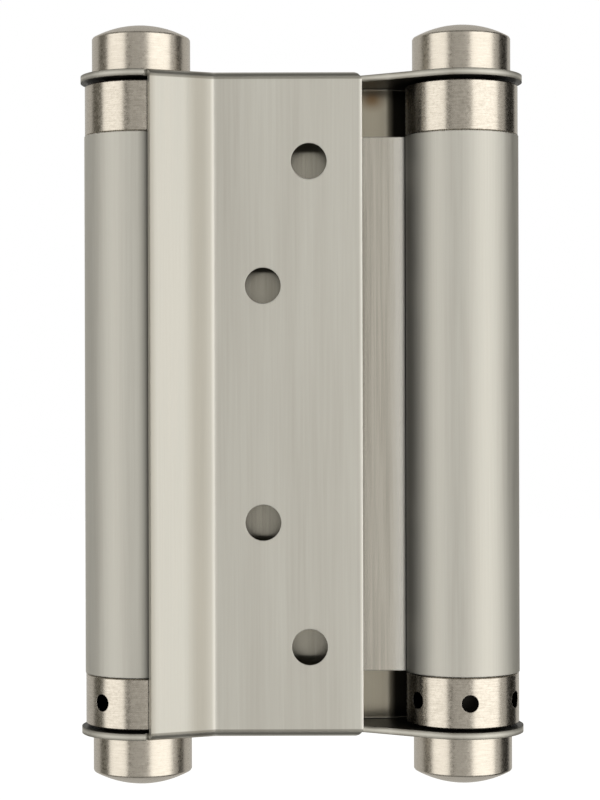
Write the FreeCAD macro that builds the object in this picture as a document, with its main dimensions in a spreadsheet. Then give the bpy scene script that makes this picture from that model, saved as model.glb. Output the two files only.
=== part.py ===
import FreeCAD, Part

import math
import os

import Sketcher
from FreeCAD import Rotation, Vector

# Double action cafe hinge, closed, in millimetres.
# The origin is midway between the two barrel axes, at half height.
# +X runs from the left barrel to the right one, +Z up along the pins, and the front is at -Y.
# The hinge repeats itself when it is turned half a turn about Z.

doc = FreeCAD.newDocument("cafe_hinge")

# The driving dimensions: name, millimetres or degrees, what it measures.
SIZES = [
    ("leaf_height", 100.0, "leaf, over the outer faces of its ears"),
    ("leaf_width", 33.6, "barrel axis to the leaf's free edge"),
    ("leaf_edge", 2.0, "barrel axis to the edge of the leaf that covers the barrel"),
    ("leaf_clearance", 0.3, "barrel to the slanted part of the leaf"),
    ("sheet_thickness", 1.0, "sheet of the leaves"),
    ("slant_angle", 22.0, "slanted part of the leaf to its flat"),
    ("flat_offset", 6.2, "barrel axis to the outer face of the leaf's flat"),
    ("crease_radius", 0.5, "hollow side of the crease between slant and flat"),
    ("fold_radius", 0.2, "inside of the fold between leaf and ear"),
    ("corner_radius", 1.5, "corners of the leaf's free edge"),
    ("ear_overhang", 0.55, "round end of the ear, past the barrel"),
    ("lip_length", 7.8, "narrow lip beside the ear, along the leaf"),
    ("lip_land", 0.7, "lip, past its fold"),
    ("lip_chamfer", 0.5, "free corner of the lip"),
    ("notch_margin", 0.5, "bend relief, past the fold"),
    ("notch_width", 0.5, "bend relief at the end of the fold"),
    ("screw_hole", 5.4, "screw hole diameter"),
    ("countersink_land", 0.2, "straight wall left under the countersink"),
    ("hole_margin", 8.0, "outer screw holes to the free edge"),
    ("hole_stagger", 6.95, "outer screw holes to inner ones, across the leaf"),
    ("outer_hole_spacing", 73.0, "outer screw holes, along the leaf"),
    ("inner_hole_spacing", 35.6, "inner screw holes, along the leaf"),
    ("axis_spacing", 49.0, "barrel axis to barrel axis"),
    ("barrel_diameter", 17.4, "outside of the rolled barrels"),
    ("barrel_wall", 1.0, "sheet of the web and its barrels"),
    ("root_radius", 0.5, "inside of the bend from web to barrel"),
    ("seam_angle", 8.0, "rolled edge stops this short of the web"),
    ("collar_height", 7.7, "visible height of the collars"),
    ("collar_inset", 0.1, "collar's side, in from the barrel's side"),
    ("collar_chamfer", 0.2, "outer edges of the collars"),
    ("spigot_length", 4.0, "collar's spigot inside the barrel"),
    ("spigot_clearance", 0.3, "turning spigot to the inside of the barrel"),
    ("press_clearance", 0.02, "drawn gap of a press fit"),
    ("running_clearance", 0.08, "collar's bore round the pin"),
    ("end_float", 0.2, "play of a leaf along its pin"),
    ("turning_gap", 0.1, "barrel's end to the adjusting collar"),
    ("tommy_hole", 2.6, "tommy-bar hole diameter"),
    ("tommy_depth", 4.0, "tommy-bar hole depth"),
    ("tommy_count", 6, "tommy-bar holes round the collar"),
    ("left_turn", 19.0, "how far the left adjusting collar stands turned"),
    ("right_turn", 3.0, "how far the right adjusting collar stands turned"),
    ("washer_thickness", 0.3, "thrust washer"),
    ("washer_diameter", 12.0, "thrust washer"),
    ("washer_clearance", 0.2, "thrust washer round the pin"),
    ("pintle_diameter", 6.0, "pin through a barrel"),
    ("pintle_reach", 4.3, "pin past the ear, inside the cap"),
    ("pintle_chamfer", 0.5, "ends of the pin"),
    ("cap_diameter", 15.0, "end cap"),
    ("cap_side", 5.8, "straight side of the end cap"),
    ("cap_dome", 2.0, "rise of the end cap's dome"),
    ("cap_edge", 0.15, "chamfer between side and dome"),
    ("cap_end_gap", 0.3, "end of the pin to the bottom of the cap's bore"),
    ("wire_size", 2.0, "spring wire, across its square section"),
    ("spring_turns", 16, "turns of the spring"),
    ("coil_sides", 12, "straight runs that draw one turn of the spring"),
    ("spring_clearance", 1.4, "spring to the inside of the barrel"),
    ("spring_end_gap", 0.3, "spring's last turn to the collar's spigot"),
    ("leg_insert", 2.5, "spring's leg inside the collar"),
    ("leg_clearance", 0.15, "corners of the spring's leg to its hole"),
    ("leg_end_gap", 0.3, "end of the leg to the bottom of its hole"),
]

# Sizes that follow from the driving ones.
DERIVED = [
    ("leaf_half", "sizes.leaf_height / 2"),
    ("ear_inner", "derived.leaf_half - sizes.sheet_thickness"),
    ("washer_seat", "derived.ear_inner - sizes.end_float - sizes.washer_thickness"),
    ("barrel_end", "derived.washer_seat - sizes.collar_height"),
    ("barrel_length", "2 * derived.barrel_end"),
    ("axis_offset", "sizes.axis_spacing / 2"),
    ("barrel_radius", "sizes.barrel_diameter / 2"),
    ("barrel_bore", "derived.barrel_radius - sizes.barrel_wall"),
    ("web_half", "sizes.barrel_wall / 2"),
    ("seam_drop", "derived.barrel_radius * sin(sizes.seam_angle * 1 deg)"),
    ("outer_reach", "derived.barrel_radius + sizes.leaf_clearance + sizes.sheet_thickness"),
    ("mid_reach", "derived.outer_reach - sizes.sheet_thickness / 2"),
    ("mid_flat", "sizes.flat_offset - sizes.sheet_thickness / 2"),
    ("mid_edge", "sizes.leaf_edge - sin(sizes.slant_angle * 1 deg) * sizes.sheet_thickness / 2"),
    ("flat_inner", "sizes.flat_offset - sizes.sheet_thickness"),
    ("fold_outer", "sizes.sheet_thickness + sizes.fold_radius"),
    ("ear_radius", "derived.barrel_radius + sizes.ear_overhang"),
    ("lip_inner", "sizes.flat_offset - derived.fold_outer - sizes.lip_land"),
    ("gusset_reach", "sizes.leaf_width - sizes.lip_length"),
    ("notch_side", "derived.fold_outer + sizes.notch_margin - sizes.sheet_thickness / 2"),
    ("ear_bore", "sizes.pintle_diameter + 2 * sizes.press_clearance"),
    ("countersink", "sizes.screw_hole + 2 * (sizes.sheet_thickness - sizes.countersink_land)"),
    ("outer_hole_across", "sizes.leaf_width - sizes.hole_margin"),
    ("inner_hole_across", "derived.outer_hole_across - sizes.hole_stagger"),
    ("outer_hole_up", "sizes.outer_hole_spacing / 2"),
    ("inner_hole_up", "sizes.inner_hole_spacing / 2"),
    ("corner_across", "sizes.leaf_width - sizes.corner_radius"),
    ("corner_up", "derived.leaf_half - sizes.corner_radius"),
    ("past_across", "sizes.leaf_width + sizes.corner_radius"),
    ("past_up", "derived.leaf_half + sizes.corner_radius"),
    ("collar_radius", "derived.barrel_radius - sizes.collar_inset"),
    ("collar_bore", "sizes.pintle_diameter / 2 + sizes.running_clearance"),
    ("fixed_spigot", "derived.barrel_bore - sizes.press_clearance"),
    ("turning_spigot", "derived.barrel_bore - sizes.spigot_clearance"),
    ("adjuster_seat", "derived.barrel_end + sizes.turning_gap"),
    ("tommy_up", "sizes.collar_height / 2"),
    ("wire_half", "sizes.wire_size / 2"),
    ("coil_outer", "derived.barrel_bore - sizes.spring_clearance"),
    ("coil_inner", "derived.coil_outer - sizes.wire_size"),
    ("coil_radius", "derived.coil_outer - derived.wire_half"),
    ("coil_inset", "sizes.spigot_length + sizes.spring_end_gap + derived.wire_half"),
    ("coil_top", "derived.barrel_end - derived.coil_inset"),
    ("coil_bottom", "derived.adjuster_seat - derived.coil_inset"),
    ("coil_height", "derived.coil_top + derived.coil_bottom"),
    ("leg_length", "sizes.wire_size + sizes.spring_end_gap + sizes.leg_insert"),
    ("leg_bore", "sizes.wire_size * sqrt(2) + 2 * sizes.leg_clearance"),
    ("leg_bore_depth", "sizes.leg_insert + sizes.leg_end_gap"),
    ("washer_bore", "sizes.pintle_diameter + 2 * sizes.washer_clearance"),
    ("pintle_radius", "sizes.pintle_diameter / 2"),
    ("pintle_end", "derived.leaf_half + sizes.pintle_reach"),
    ("cap_radius", "sizes.cap_diameter / 2"),
    ("cap_bore", "derived.pintle_radius + sizes.press_clearance"),
    ("cap_bore_depth", "sizes.pintle_reach + sizes.cap_end_gap"),
    ("cap_top", "sizes.cap_side + sizes.cap_dome"),
]

# Points of a sketch element, and the sketch's own origin and axes.
START, END, CENTRE = 1, 2, 3
ORIGIN = (-1, 1)
ACROSS_AXIS, UP_AXIS = -1, -2
UPRIGHT = Vector(0, 0, 1)
TOLERANCE = 0.05


def make_sheet():
    """The spreadsheet with one named cell for each driving dimension."""
    table = doc.addObject("Spreadsheet::Sheet", "sizes")
    for row, (alias, amount, meaning) in enumerate(SIZES, start=1):
        table.set("A%d" % row, meaning)
        table.set("B%d" % row, str(amount))
        table.setAlias("B%d" % row, alias)
    doc.recompute()
    return table


def make_derived():
    """The worked-out sizes, each tied to the cells that it follows from."""
    values = doc.addObject("App::VarSet", "derived")
    for name, formula in DERIVED:
        values.addProperty("App::PropertyFloat", name)
        values.setExpression(name, formula)
        doc.recompute()
    return values


sheet = make_sheet()
derived = make_derived()


def number(name):
    """The present value of a named size, such as sizes.leaf_height or -derived.barrel_end."""
    if name.startswith("-"):
        return -number(name[1:])
    owner, alias = name.split(".")
    if owner == "sizes":
        return float(sheet.get(alias))
    return float(getattr(derived, alias))


# Small helpers for bodies, sketches and features.

def new_body(label):
    body = doc.addObject("PartDesign::Body", label)
    body.Label = label
    return body


def origin_part(body, role):
    return next(item for item in body.Origin.OriginFeatures if item.Role == role)


def new_sketch(body, title, plane="XY_Plane", offset=None):
    """A sketch on one of the body's own planes, raised along the plane's normal by a named size."""
    sketch = body.newObject("Sketcher::SketchObject", body.Name + "_" + title)
    sketch.AttachmentSupport = [(origin_part(body, plane), "")]
    sketch.MapMode = "FlatFace"
    if offset:
        sketch.setExpression("AttachmentOffset.Base.z", offset)
    return sketch


def line(sketch, start, end):
    return sketch.addGeometry(Part.LineSegment(Vector(*start), Vector(*end)))


def arc(sketch, centre, start, end):
    """An arc that runs counter-clockwise from start to end."""
    radius = math.dist(centre, start)
    first = math.atan2(start[1] - centre[1], start[0] - centre[0])
    last = math.atan2(end[1] - centre[1], end[0] - centre[0])
    circle = Part.Circle(Vector(*centre), UPRIGHT, radius)
    return sketch.addGeometry(Part.ArcOfCircle(circle, first, last))


def rule(sketch, kind, *where):
    return sketch.addConstraint(Sketcher.Constraint(kind, *where))


def dimension(sketch, kind, where, name):
    """A measured constraint that follows a named size."""
    amount = number(name)
    if kind == "Angle":
        amount = math.radians(amount)
    index = sketch.addConstraint(Sketcher.Constraint(kind, *where, amount))
    sketch.setExpression("Constraints[%d]" % index, name)


def locate(sketch, element, point, across=None, up=None):
    """Ties a point's place, across and up from the sketch's origin, to named sizes."""
    place = sketch.getPoint(element, point)
    for kind, name, distance in (("DistanceX", across, place.x), ("DistanceY", up, place.y)):
        if name is None:
            continue
        ends = (*ORIGIN, element, point) if distance > 0 else (element, point, *ORIGIN)
        dimension(sketch, kind, ends, name.lstrip("-"))


def circle(sketch, diameter, across=None, up=None):
    """A circle of a named diameter, at named distances from the sketch's origin."""
    place = Vector(number(across) if across else 0, number(up) if up else 0)
    element = sketch.addGeometry(Part.Circle(place, UPRIGHT, number(diameter) / 2))
    dimension(sketch, "Diameter", (element,), diameter)
    if across is None:
        rule(sketch, "PointOnObject", element, CENTRE, UP_AXIS)
    if up is None:
        rule(sketch, "PointOnObject", element, CENTRE, ACROSS_AXIS)
    locate(sketch, element, CENTRE, across, up)


def stepped_outline(sketch, corners):
    """A closed outline of level and upright lines through corners of named sizes, None for zero."""
    places = [tuple(number(name) if name else 0.0 for name in corner) for corner in corners]
    count = len(corners)
    lines = [line(sketch, places[i], places[(i + 1) % count]) for i in range(count)]
    for i in range(count):
        rule(sketch, "Coincident", lines[i], END, lines[(i + 1) % count], START)
        across, up = corners[i]
        upright = across == corners[(i + 1) % count][0]
        rule(sketch, "Vertical" if upright else "Horizontal", lines[i])
        name, axis = (across, UP_AXIS) if upright else (up, ACROSS_AXIS)
        if name is None:
            rule(sketch, "PointOnObject", lines[i], START, axis)
        else:
            locate(sketch, lines[i], START, **{"across" if upright else "up": name})


def pad(body, sketch, length):
    feature = body.newObject("PartDesign::Pad", sketch.Name + "_pad")
    feature.Profile = sketch
    feature.setExpression("Length", length)
    doc.recompute()
    return feature


def pocket(body, sketch, depth=None, reverse=False):
    """A cut of a named depth, or right through where none is given; it has to remove metal."""
    before = body.Shape.Volume
    feature = body.newObject("PartDesign::Pocket", sketch.Name + "_pocket")
    feature.Profile = sketch
    feature.Reversed = reverse
    if depth:
        feature.setExpression("Length", depth)
    else:
        feature.Type = "ThroughAll"
    doc.recompute()
    if feature.Shape.Volume >= before:
        raise RuntimeError(feature.Name + " removes nothing")
    return feature


def revolve(body, sketch):
    feature = body.newObject("PartDesign::Revolution", sketch.Name + "_turned")
    feature.Profile = sketch
    feature.ReferenceAxis = (sketch, ["V_Axis"])
    feature.Angle = 360
    doc.recompute()
    return feature


def edges_of(feature, test):
    """Names of the feature's edges whose two ends and middle all pass a test."""
    names = []
    for index, edge in enumerate(feature.Shape.Edges, start=1):
        first, last = edge.ParameterRange
        points = [edge.valueAt(first + (last - first) * share) for share in (0, 0.5, 1)]
        if all(test(point) for point in points):
            names.append("Edge%d" % index)
    if not names:
        raise RuntimeError("no edge to dress on " + feature.Name)
    return names


def dress(body, kind, base, test, amount):
    """A Fillet or Chamfer of a named size on the edges of base that pass a test."""
    feature = body.newObject("PartDesign::" + kind, "%s_%s" % (base.Name, kind.lower()))
    feature.Base = (base, edges_of(base, test))
    feature.setExpression("Radius" if kind == "Fillet" else "Size", amount)
    doc.recompute()
    return feature


def place(body, across=None, up=None, turn=Rotation()):
    """Puts a body at named distances from the hinge's origin, turned first."""
    body.Placement = FreeCAD.Placement(Vector(), turn)
    if across:
        body.setExpression("Placement.Base.x", across)
    if up:
        body.setExpression("Placement.Base.z", up)


def round_edge(radius, up):
    """A test for points on the circle of this radius at this height, round the upright axis."""
    return lambda point: (abs(math.hypot(point.x, point.y) - radius) < TOLERANCE
                          and abs(point.z - up) < TOLERANCE)


HALF_TURN = Rotation(UPRIGHT, 180)
UPSIDE_DOWN = Rotation(Vector(1, 0, 0), 180)


# The centre sheet: a web whose two edges are rolled into barrels.

def add_centre_web():
    """Half of the sheet is drawn, from the middle to the right barrel, and turned for the left."""
    body = new_body("centre_web")
    sketch = new_sketch(body, "section", offset="-derived.barrel_end")
    axis = (number("derived.axis_offset"), 0.0)
    outer = number("derived.barrel_radius")
    bore = number("derived.barrel_bore")
    half = number("derived.web_half")
    bend = number("sizes.root_radius")
    seam = math.pi + math.radians(number("sizes.seam_angle"))

    # The bend lies behind the web, at the distance where its arcs run into the barrel's.
    bend_up = half + bend
    bend_across = axis[0] - math.sqrt((outer + bend) ** 2 - bend_up ** 2)
    root = (bend_across, bend_up)
    meets = math.pi - math.asin(bend_up / (outer + bend))

    def on_barrel(radius, angle):
        return (axis[0] + radius * math.cos(angle), axis[1] + radius * math.sin(angle))

    front = line(sketch, (0, -half), (bend_across, -half))
    front_bend = arc(sketch, root, (bend_across, -half), on_barrel(bore, meets))
    inside = arc(sketch, axis, on_barrel(bore, seam), on_barrel(bore, meets))
    seam_face = line(sketch, on_barrel(bore, seam), on_barrel(outer, seam))
    outside = arc(sketch, axis, on_barrel(outer, seam), on_barrel(outer, meets))
    back_bend = arc(sketch, root, (bend_across, half), on_barrel(outer, meets))
    back = line(sketch, (bend_across, half), (0, half))
    middle = line(sketch, (0, half), (0, -half))

    rule(sketch, "Tangent", front, END, front_bend, START)
    rule(sketch, "Tangent", front_bend, END, inside, END)
    rule(sketch, "Coincident", inside, START, seam_face, START)
    rule(sketch, "Coincident", seam_face, END, outside, START)
    rule(sketch, "Tangent", outside, END, back_bend, END)
    rule(sketch, "Tangent", back_bend, START, back, START)
    rule(sketch, "Coincident", back, END, middle, START)
    rule(sketch, "Coincident", middle, END, front, START)
    rule(sketch, "Coincident", front_bend, CENTRE, back_bend, CENTRE)
    rule(sketch, "Coincident", inside, CENTRE, outside, CENTRE)
    rule(sketch, "PointOnObject", outside, CENTRE, ACROSS_AXIS)
    rule(sketch, "PointOnObject", outside, CENTRE, seam_face)
    rule(sketch, "PointOnObject", middle, START, UP_AXIS)
    rule(sketch, "Horizontal", front)
    rule(sketch, "Horizontal", back)
    rule(sketch, "Vertical", middle)
    locate(sketch, outside, CENTRE, across="derived.axis_offset")
    locate(sketch, front, START, up="-derived.web_half")
    locate(sketch, back, END, up="derived.web_half")
    dimension(sketch, "Radius", (outside,), "derived.barrel_radius")
    dimension(sketch, "Radius", (back_bend,), "sizes.root_radius")
    locate(sketch, seam_face, END, up="-derived.seam_drop")

    half_sheet = pad(body, sketch, "derived.barrel_length")
    pattern = body.newObject("PartDesign::PolarPattern", "centre_web_pair")
    pattern.Originals = [half_sheet]
    pattern.Axis = (origin_part(body, "Z_Axis"), [""])
    pattern.Occurrences = 2
    body.Tip = pattern
    doc.recompute()
    return body


# A leaf: one sheet, creased along its height, with an ear folded over at each end.

def leaf_depth(point):
    """How deep a point lies behind the outer face of the leaf, in the leaf's own frame."""
    slant = math.radians(number("sizes.slant_angle"))
    from_slant = point.x * math.sin(slant) - point.y * math.cos(slant) - number("derived.outer_reach")
    from_flat = -point.y - number("sizes.flat_offset")
    return -min(from_slant, from_flat)


def add_leaf_wall(body):
    """The creased wall, drawn in plan with the barrel's axis at the origin and the front at -Y."""
    sketch = new_sketch(body, "plan")
    slant = math.radians(number("sizes.slant_angle"))
    along = (math.cos(slant), math.sin(slant))
    reach = number("derived.outer_reach")
    flat = number("sizes.flat_offset")
    sheet_gauge = number("sizes.sheet_thickness")
    hollow = number("sizes.crease_radius")
    width = number("sizes.leaf_width")

    edge_x = number("sizes.leaf_edge")
    edge = (edge_x, (edge_x * along[1] - reach) / along[0])
    crease_y = -flat - hollow
    crease = ((reach + hollow + crease_y * along[0]) / along[1], crease_y)

    def off_slant(start, distance):
        return (start[0] - along[1] * distance, start[1] + along[0] * distance)

    def off_flat(distance):
        return (crease[0], crease[1] + distance)

    thick = hollow + sheet_gauge
    outer_slant = line(sketch, edge, off_slant(crease, hollow))
    outer_crease = arc(sketch, crease, off_flat(hollow), off_slant(crease, hollow))
    outer_flat = line(sketch, off_flat(hollow), (width, -flat))
    free_edge = line(sketch, (width, -flat), (width, sheet_gauge - flat))
    inner_flat = line(sketch, (width, sheet_gauge - flat), off_flat(thick))
    inner_crease = arc(sketch, crease, off_flat(thick), off_slant(crease, thick))
    inner_slant = line(sketch, off_slant(crease, thick), off_slant(edge, sheet_gauge))
    barrel_edge = line(sketch, off_slant(edge, sheet_gauge), edge)

    rule(sketch, "Tangent", outer_slant, END, outer_crease, END)
    rule(sketch, "Tangent", outer_crease, START, outer_flat, START)
    rule(sketch, "Coincident", outer_flat, END, free_edge, START)
    rule(sketch, "Coincident", free_edge, END, inner_flat, START)
    rule(sketch, "Tangent", inner_flat, END, inner_crease, START)
    rule(sketch, "Tangent", inner_crease, END, inner_slant, START)
    rule(sketch, "Coincident", inner_slant, END, barrel_edge, START)
    rule(sketch, "Coincident", barrel_edge, END, outer_slant, START)
    rule(sketch, "Coincident", outer_crease, CENTRE, inner_crease, CENTRE)
    rule(sketch, "Horizontal", outer_flat)
    rule(sketch, "Vertical", free_edge)
    rule(sketch, "Horizontal", inner_flat)
    rule(sketch, "Parallel", inner_slant, outer_slant)
    rule(sketch, "Perpendicular", barrel_edge, outer_slant)
    dimension(sketch, "Angle", (outer_slant,), "sizes.slant_angle")
    dimension(sketch, "Distance", (*ORIGIN, outer_slant), "derived.outer_reach")
    dimension(sketch, "Distance", (*ORIGIN, outer_flat), "sizes.flat_offset")
    dimension(sketch, "Distance", (barrel_edge,), "sizes.sheet_thickness")
    dimension(sketch, "Radius", (outer_crease,), "sizes.crease_radius")
    locate(sketch, outer_slant, START, across="sizes.leaf_edge")
    locate(sketch, outer_flat, END, across="sizes.leaf_width")
    return pad(body, sketch, "derived.leaf_half")


def add_ear(body):
    """The upper ear: a round end about the pin, a straight gusset edge and a narrow lip."""
    sketch = new_sketch(body, "ear", offset="derived.ear_inner")
    slant = math.radians(number("sizes.slant_angle"))
    along = (math.cos(slant), math.sin(slant))
    reach = number("derived.mid_reach")
    flat_y = -number("derived.mid_flat")
    width = number("sizes.leaf_width")
    lip_y = -number("derived.lip_inner")
    chamfer = number("sizes.lip_chamfer")
    radius = number("derived.ear_radius")

    # Its outer side runs inside the wall's sheet, and its bend relief stands beside the fold.
    fold_start_x = number("derived.mid_edge")
    fold_start = (fold_start_x, (fold_start_x * along[1] - reach) / along[0])
    crease = ((reach + flat_y * along[0]) / along[1], flat_y)
    side = number("derived.notch_side")
    gap = number("sizes.notch_width")
    notch_in = (fold_start[0] - along[1] * side, fold_start[1] + along[0] * side)
    notch_out = (notch_in[0] - along[0] * gap, notch_in[1] - along[1] * gap)
    offset_along = notch_out[0] * along[0] + notch_out[1] * along[1]
    offset_out = math.sqrt(radius ** 2 - offset_along ** 2)
    round_start = (offset_along * along[0] + offset_out * along[1],
                   offset_along * along[1] - offset_out * along[0])
    gusset_end = (number("derived.gusset_reach"), lip_y)
    away = math.hypot(*gusset_end)
    touch = math.atan2(gusset_end[1], gusset_end[0]) + math.acos(radius / away)
    gusset_start = (radius * math.cos(touch), radius * math.sin(touch))

    corners = [fold_start, crease, (width, flat_y), (width, lip_y - chamfer),
               (width - chamfer, lip_y), gusset_end, gusset_start]
    slant_line, flat_line, end_line, chamfer_line, lip_line, gusset_line = [
        line(sketch, start, end) for start, end in zip(corners, corners[1:])]
    round_end = arc(sketch, (0, 0), gusset_start, round_start)
    notch_near = line(sketch, round_start, notch_out)
    notch_floor = line(sketch, notch_out, notch_in)
    notch_far = line(sketch, notch_in, fold_start)

    chain = [slant_line, flat_line, end_line, chamfer_line, lip_line, gusset_line]
    for first, second in zip(chain, chain[1:]):
        rule(sketch, "Coincident", first, END, second, START)
    rule(sketch, "Tangent", gusset_line, END, round_end, START)
    rule(sketch, "Coincident", round_end, END, notch_near, START)
    rule(sketch, "Coincident", notch_near, END, notch_floor, START)
    rule(sketch, "Coincident", notch_floor, END, notch_far, START)
    rule(sketch, "Coincident", notch_far, END, slant_line, START)
    rule(sketch, "Coincident", round_end, CENTRE, *ORIGIN)
    rule(sketch, "Horizontal", flat_line)
    rule(sketch, "Vertical", end_line)
    rule(sketch, "Horizontal", lip_line)
    rule(sketch, "Perpendicular", notch_far, slant_line)
    rule(sketch, "Parallel", notch_floor, slant_line)
    rule(sketch, "Parallel", notch_near, notch_far)
    dimension(sketch, "Radius", (round_end,), "derived.ear_radius")
    dimension(sketch, "Angle", (slant_line,), "sizes.slant_angle")
    dimension(sketch, "Distance", (*ORIGIN, slant_line), "derived.mid_reach")
    dimension(sketch, "Distance", (*ORIGIN, flat_line), "derived.mid_flat")
    dimension(sketch, "Distance", (*ORIGIN, lip_line), "derived.lip_inner")
    dimension(sketch, "DistanceX", (chamfer_line, END, chamfer_line, START), "sizes.lip_chamfer")
    dimension(sketch, "DistanceY", (chamfer_line, START, chamfer_line, END), "sizes.lip_chamfer")
    dimension(sketch, "Distance", (notch_floor,), "sizes.notch_width")
    dimension(sketch, "Distance", (notch_far,), "derived.notch_side")
    locate(sketch, slant_line, START, across="derived.mid_edge")
    locate(sketch, flat_line, END, across="sizes.leaf_width")
    locate(sketch, lip_line, END, across="derived.gusset_reach")
    circle(sketch, "derived.ear_bore")
    return pad(body, sketch, "sizes.sheet_thickness")


def add_free_corner(body):
    """Rounds the upper corner of the free edge, through the flat and its lip."""
    sketch = new_sketch(body, "corner", plane="XZ_Plane")
    across, up = number("derived.corner_across"), number("derived.corner_up")
    width, top = number("sizes.leaf_width"), number("derived.leaf_half")
    past_across, past_up = number("derived.past_across"), number("derived.past_up")
    rounding = arc(sketch, (across, up), (width, up), (across, top))
    corners = [(across, top), (across, past_up), (past_across, past_up), (past_across, up), (width, up)]
    left, over, right, under = [line(sketch, start, end) for start, end in zip(corners, corners[1:])]
    rule(sketch, "Coincident", rounding, END, left, START)
    rule(sketch, "Coincident", left, END, over, START)
    rule(sketch, "Coincident", over, END, right, START)
    rule(sketch, "Coincident", right, END, under, START)
    rule(sketch, "Coincident", under, END, rounding, START)
    rule(sketch, "Vertical", left)
    rule(sketch, "Horizontal", over)
    rule(sketch, "Vertical", right)
    rule(sketch, "Horizontal", under)
    dimension(sketch, "Radius", (rounding,), "sizes.corner_radius")
    locate(sketch, rounding, CENTRE, across="derived.corner_across", up="derived.corner_up")
    locate(sketch, rounding, START, up="derived.corner_up")
    locate(sketch, rounding, END, across="derived.corner_across")
    locate(sketch, over, END, across="derived.past_across", up="derived.past_up")
    return pocket(body, sketch, reverse=True)


def add_screw_holes(body):
    """The two upper screw holes, countersunk from the side that faces the web."""
    sketch = new_sketch(body, "screws", plane="XZ_Plane", offset="derived.flat_inner")
    circle(sketch, "sizes.screw_hole", across="derived.outer_hole_across", up="derived.outer_hole_up")
    circle(sketch, "sizes.screw_hole", across="derived.inner_hole_across", up="derived.inner_hole_up")
    doc.recompute()
    before = body.Shape.Volume
    holes = body.newObject("PartDesign::Hole", body.Name + "_holes")
    holes.Profile = sketch
    doc.recompute()
    holes.ThreadType = "None"
    holes.DepthType = "ThroughAll"
    holes.Reversed = True
    holes.HoleCutType = "Countersink"
    holes.HoleCutCustomValues = True
    holes.HoleCutCountersinkAngle = 90
    holes.setExpression("Diameter", "sizes.screw_hole")
    holes.setExpression("HoleCutDiameter", "derived.countersink")
    doc.recompute()
    if holes.Shape.Volume >= before:
        raise RuntimeError(holes.Name + " removes nothing")
    return holes


def add_leaf(label):
    """The upper half of a leaf, mirrored at half height."""
    body = new_body(label)
    top = number("derived.leaf_half")
    under_ear = number("derived.ear_inner")
    gauge = number("sizes.sheet_thickness")
    add_leaf_wall(body)
    ear = add_ear(body)
    folded = dress(body, "Fillet", ear, lambda point: abs(point.z - top) < TOLERANCE
                   and abs(leaf_depth(point)) < TOLERANCE, "derived.fold_outer")
    dress(body, "Fillet", folded, lambda point: abs(point.z - under_ear) < TOLERANCE
          and abs(leaf_depth(point) - gauge) < TOLERANCE, "sizes.fold_radius")
    add_free_corner(body)
    add_screw_holes(body)
    mirror = body.newObject("PartDesign::Mirrored", label + "_both_ends")
    mirror.TransformMode = "Whole shape"
    mirror.MirrorPlane = (origin_part(body, "XY_Plane"), [""])
    body.Tip = mirror
    doc.recompute()
    return body


# The turned pieces, each with the pin's axis as its own Z and its outer end up.

def add_collar(label, spigot):
    """A collar with its spigot below z = 0, where the barrel ends, and a hole for the spring's leg."""
    body = new_body(label)
    section = new_sketch(body, "section", plane="XZ_Plane")
    stepped_outline(section, [
        ("derived.collar_bore", "-sizes.spigot_length"),
        (spigot, "-sizes.spigot_length"),
        (spigot, None),
        ("derived.collar_radius", None),
        ("derived.collar_radius", "sizes.collar_height"),
        ("derived.collar_bore", "sizes.collar_height"),
    ])
    turned = revolve(body, section)
    radius, height = number("derived.collar_radius"), number("sizes.collar_height")
    lower_edge, upper_edge = round_edge(radius, 0), round_edge(radius, height)
    dress(body, "Chamfer", turned, lambda point: lower_edge(point) or upper_edge(point),
          "sizes.collar_chamfer")
    leg = new_sketch(body, "leg", offset="-sizes.spigot_length")
    circle(leg, "derived.leg_bore", across="derived.coil_radius", up="derived.wire_half")
    pocket(body, leg, "derived.leg_bore_depth", reverse=True)
    return body


def add_adjusting_collar(label):
    """A collar that turns in the barrel's end, with tommy-bar holes drilled round it."""
    body = add_collar(label, "derived.turning_spigot")
    sketch = new_sketch(body, "tommy", plane="XZ_Plane", offset="derived.collar_radius")
    circle(sketch, "sizes.tommy_hole", up="derived.tommy_up")
    hole = pocket(body, sketch, "sizes.tommy_depth")
    pattern = body.newObject("PartDesign::PolarPattern", label + "_holes")
    pattern.Originals = [hole]
    pattern.Axis = (origin_part(body, "Z_Axis"), [""])
    pattern.setExpression("Occurrences", "sizes.tommy_count")
    body.Tip = pattern
    doc.recompute()
    return body


def add_cap(label):
    """An end cap: a drum with a low dome, bored from below for the pin's end."""
    body = new_body(label)
    sketch = new_sketch(body, "section", plane="XZ_Plane")
    radius, side, top = number("derived.cap_radius"), number("sizes.cap_side"), number("derived.cap_top")
    bore, depth = number("derived.cap_bore"), number("derived.cap_bore_depth")
    dome_radius = (radius ** 2 + (top - side) ** 2) / (2 * (top - side))
    dome = arc(sketch, (0, top - dome_radius), (radius, side), (0, top))
    corners = [(0, top), (0, depth), (bore, depth), (bore, 0), (radius, 0), (radius, side)]
    core, bore_end, bore_side, base, drum = [
        line(sketch, start, end) for start, end in zip(corners, corners[1:])]
    outline = [dome, core, bore_end, bore_side, base, drum]
    for first, second in zip(outline, outline[1:] + outline[:1]):
        rule(sketch, "Coincident", first, END, second, START)
    rule(sketch, "PointOnObject", dome, CENTRE, UP_AXIS)
    rule(sketch, "PointOnObject", dome, END, UP_AXIS)
    rule(sketch, "Vertical", core)
    rule(sketch, "Horizontal", bore_end)
    rule(sketch, "Vertical", bore_side)
    rule(sketch, "PointOnObject", base, START, ACROSS_AXIS)
    rule(sketch, "Horizontal", base)
    rule(sketch, "Vertical", drum)
    locate(sketch, dome, START, across="derived.cap_radius", up="sizes.cap_side")
    locate(sketch, dome, END, up="derived.cap_top")
    locate(sketch, bore_end, END, across="derived.cap_bore", up="derived.cap_bore_depth")
    turned = revolve(body, sketch)
    dress(body, "Chamfer", turned, round_edge(radius, side), "sizes.cap_edge")
    return body


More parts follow.
